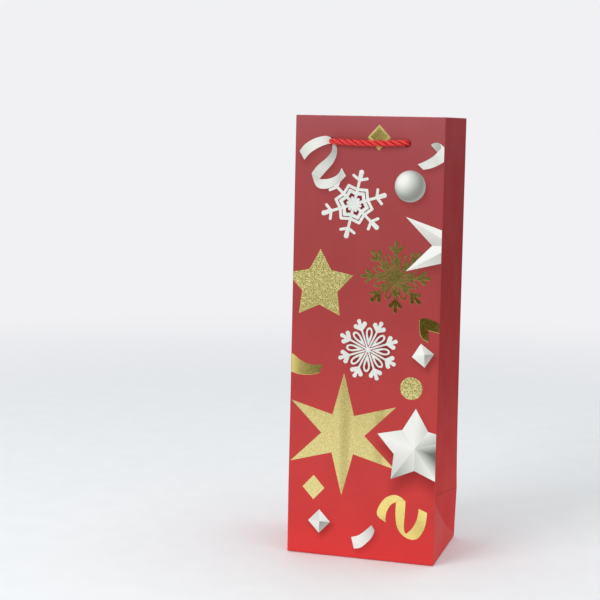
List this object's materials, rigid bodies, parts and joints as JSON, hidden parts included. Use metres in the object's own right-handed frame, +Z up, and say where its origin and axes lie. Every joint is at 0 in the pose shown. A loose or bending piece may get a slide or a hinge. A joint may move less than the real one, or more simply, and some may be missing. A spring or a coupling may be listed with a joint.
{
  "type": "wine gift bag",
  "caption": "Tall printed paper bag for a bottle, with pleated sides, a block bottom with a loose base board, and twisted rope handles knotted inside.",
  "frame": {"origin": "centre of the bag's rectangular base, on the surface that it stands on", "axes": "+Z up to the open top; -Y out of the front panel; +X to the right as seen from the front"},
  "size_m": [0.12, 0.103, 0.35],
  "materials": {
    "printed_paper": "satin laminated print",
    "white_paper": "matt uncoated",
    "strip_card": "matt card",
    "greyboard": "matt greyboard",
    "rope_red": "twisted satin yarn",
    "gold_foil": "hot-stamped gold foil and glitter",
    "silver_foil": "hot-stamped silver foil and glitter",
    "pearl_ink": "pearl white ink"
  },
  "bodies": {
    "bag": {"front_panel": "printed_paper", "front_hem": "printed_paper", "back_panel": "printed_paper", "back_hem": "printed_paper", "right_gusset_front_half": "printed_paper", "right_gusset_back_half": "printed_paper", "right_hem": "printed_paper", "left_gusset_front_half": "printed_paper", "left_gusset_back_half": "printed_paper", "left_hem": "printed_paper", "side_seam_tab": "white_paper", "front_bottom_flap": "white_paper", "back_bottom_flap": "white_paper", "right_bottom_flap": "white_paper", "left_bottom_flap": "white_paper", "front_handle_card": "strip_card", "back_handle_card": "strip_card"},
    "front_handle": {"front_handle_rope": "rope_red", "front_left_knot": "rope_red", "front_right_knot": "rope_red"},
    "back_handle": {"back_handle_rope": "rope_red", "back_left_knot": "rope_red", "back_right_knot": "rope_red"},
    "board": {"base_board": "greyboard"}
  },
  "joints": [
    {"name": "front_handle_pull", "type": "slide", "parent": "bag", "child": "front_handle", "axis": [0, -0.0725, 0.9974], "range_m": [0, 0.11029], "deforming": ["front_handle_rope"]},
    {"name": "back_handle_pull", "type": "slide", "parent": "bag", "child": "back_handle", "axis": [0, 0.0725, 0.9974], "range_m": [0, 0.11029], "deforming": ["back_handle_rope"]},
    {"name": "base_board_lift", "type": "slide", "parent": "bag", "child": "board", "axis": [0, 0, 1], "range_m": [0, 0.2]}
  ]
}
